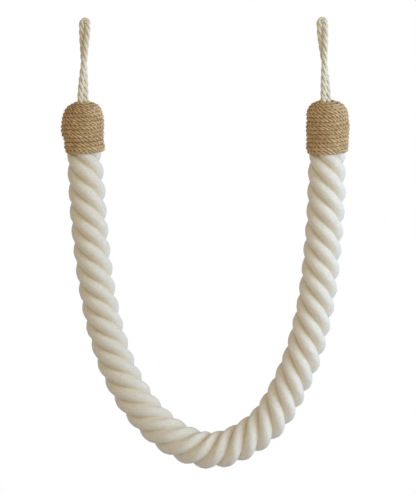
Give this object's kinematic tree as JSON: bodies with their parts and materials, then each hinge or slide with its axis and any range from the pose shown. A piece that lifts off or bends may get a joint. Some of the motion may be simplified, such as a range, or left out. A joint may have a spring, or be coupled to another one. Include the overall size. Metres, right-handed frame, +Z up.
{
  "type": "rope curtain tieback",
  "caption": "Thick laid cotton rope hanging in a U, its ends bound with jute twine into domes and each fitted with a doubled cord loop; holds a drawn curtain.",
  "frame": {"origin": "midway between the tops of the two cord loops, on the line that both loops hang from", "axes": "+Z up, +X from the left loop to the right one, -Y the front; the rope hangs in the XZ plane"},
  "size_m": [0.2546, 0.039, 0.3974],
  "materials": {
    "rope_cotton": "matt brushed cotton, cream",
    "jute_twine": "matt natural jute twine, tan",
    "loop_cord": "matt twisted cotton cord, cream"
  },
  "bodies": {
    "root": {"rope": "rope_cotton", "wrap_left": "jute_twine", "wrap_right": "jute_twine", "loop_left": "loop_cord", "loop_right": "loop_cord"}
  },
  "joints": []
}
